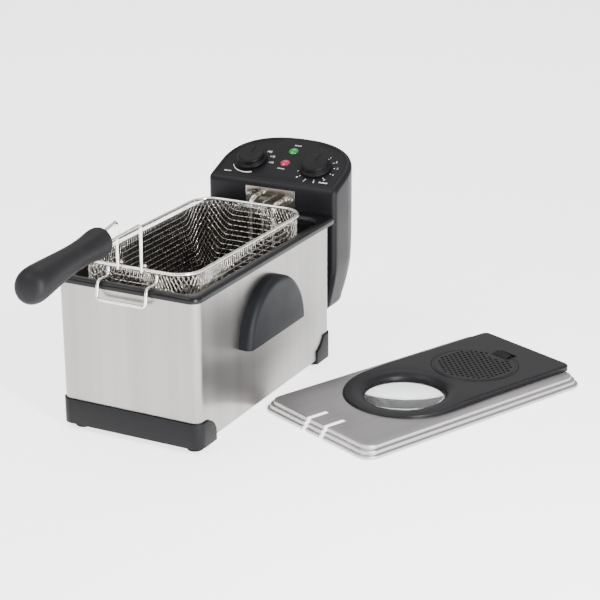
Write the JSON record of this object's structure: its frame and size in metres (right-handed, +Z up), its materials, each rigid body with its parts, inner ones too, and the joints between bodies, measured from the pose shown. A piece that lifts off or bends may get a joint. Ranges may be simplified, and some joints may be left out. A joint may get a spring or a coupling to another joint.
{
  "type": "deep fryer",
  "caption": "Rectangular steel deep fryer with a lift-out pot, plug-in control head, wire basket with handle, and a separate lid with window and filter.",
  "frame": {"origin": "middle of the whole set's footprint, on the table", "axes": "+X from the basket grip at the front to the control head at the rear, +Y to the fryer's left, +Z up"},
  "size_m": [0.601, 0.474, 0.2508],
  "materials": {
    "housing_steel": "fine vertical brushing",
    "bright_wire": "bright plated wire",
    "sheet_steel": "plain mill finish",
    "charcoal_plastic": "fine grain moulding",
    "black_plastic": "fine grain moulding",
    "panel_plastic": "printed satin panel",
    "enamel": "black cooking enamel",
    "rubber": "moulded rubber",
    "element_metal": "oxidised heater sheath",
    "copper": "plain copper tube",
    "switch_plastic": "plain moulding",
    "brown_resin": "thermoset moulding",
    "red_lens": "clear tinted lens",
    "green_lens": "clear tinted lens",
    "lamp_glass": "small lamp in a holder",
    "red_button": "moulded button",
    "window_glass": "clear tempered glass",
    "bezel_plastic": "satin moulding",
    "filter_foam": "woven filter pad"
  },
  "bodies": {
    "fryer_body": {"housing_shell": "housing_steel", "base_plate": "sheet_steel", "front_trim": "charcoal_plastic", "rear_trim": "charcoal_plastic", "rubber_feet": "rubber", "base_screws": "sheet_steel", "side_handle_left": "charcoal_plastic", "side_handle_right": "charcoal_plastic", "handle_screws": "sheet_steel", "head_rail": "black_plastic", "rail_rivets": "sheet_steel"},
    "pot": {"oil_pot": "enamel"},
    "head": {"head_shell": "black_plastic", "head_base_cover": "black_plastic", "cover_screws": "sheet_steel", "control_panel": "panel_plastic", "element_plate": "sheet_steel", "plate_screws": "sheet_steel", "heating_element": "element_metal", "element_bracket": "sheet_steel", "thermostat_bulb": "copper", "thermostat_body": "sheet_steel", "timer_body": "switch_plastic", "power_lens": "red_lens", "ready_lens": "green_lens", "lamp_bulbs": "lamp_glass", "thermal_cutout": "brown_resin", "safety_switch": "black_plastic", "power_inlet": "black_plastic", "inlet_pins": "sheet_steel", "terminal_block": "switch_plastic"},
    "thermostat_control": {"thermostat_shaft": "sheet_steel", "thermostat_knob": "black_plastic"},
    "timer_control": {"timer_shaft": "sheet_steel", "timer_knob": "black_plastic"},
    "reset": {"reset_button": "red_button"},
    "plunger": {"switch_plunger": "red_button"},
    "basket": {"basket_mesh": "bright_wire", "basket_rim": "bright_wire", "basket_hook": "bright_wire", "basket_frame": "bright_wire"},
    "basket_handle": {"handle_wires": "bright_wire", "handle_grip": "charcoal_plastic"},
    "lid": {"lid_shell": "housing_steel", "lid_bezel": "bezel_plastic", "window_glass": "window_glass", "window_gasket": "rubber", "window_retainer": "sheet_steel", "lid_screws": "sheet_steel", "filter_tray": "charcoal_plastic", "filter_pad": "filter_foam"},
    "cover": {"filter_cover": "bezel_plastic"}
  },
  "joints": [
    {"name": "pot_lift", "type": "slide", "parent": "fryer_body", "child": "pot", "axis": [0, 0, 1], "range_m": [0, 0.2]},
    {"name": "head_lift", "type": "slide", "parent": "pot", "child": "head", "axis": [0, 0, 1], "range_m": [0, 0.18]},
    {"name": "basket_lift", "type": "slide", "parent": "head", "child": "basket", "axis": [0, 0, 1], "range_m": [0, 0.16]},
    {"name": "handle_fold", "type": "hinge", "parent": "basket", "child": "basket_handle", "pos_m": [-0.11533, 0.13698, 0.19], "axis": [0, 1, 0], "range_deg": [0, 170]},
    {"name": "thermostat_turn", "type": "hinge", "parent": "head", "child": "thermostat_control", "pos_m": [0.21979, 0.09378, 0.21825], "axis": [-0.3746, 0, 0.9272], "range_deg": [-270, 0]},
    {"name": "timer_turn", "type": "hinge", "parent": "head", "child": "timer_control", "pos_m": [0.21979, 0.18018, 0.21825], "axis": [-0.3746, 0, 0.9272], "range_deg": [-300, 0]},
    {"name": "reset_press", "type": "slide", "parent": "head", "child": "reset", "axis": [-1, 0, 0], "range_m": [0, 0.0015], "stiffness_N_per_m": 400},
    {"name": "plunger_press", "type": "slide", "parent": "head", "child": "plunger", "axis": [0, 0, 1], "range_m": [0, 0.002], "stiffness_N_per_m": 300},
    {"name": "lid_lift", "type": "slide", "parent": "fryer_body", "child": "lid", "axis": [0, -0.5, 0.866], "range_m": [0, 0.3]},
    {"name": "cover_lift", "type": "slide", "parent": "lid", "child": "cover", "axis": [0, 0, 1], "range_m": [0, 0.04]}
  ]
}
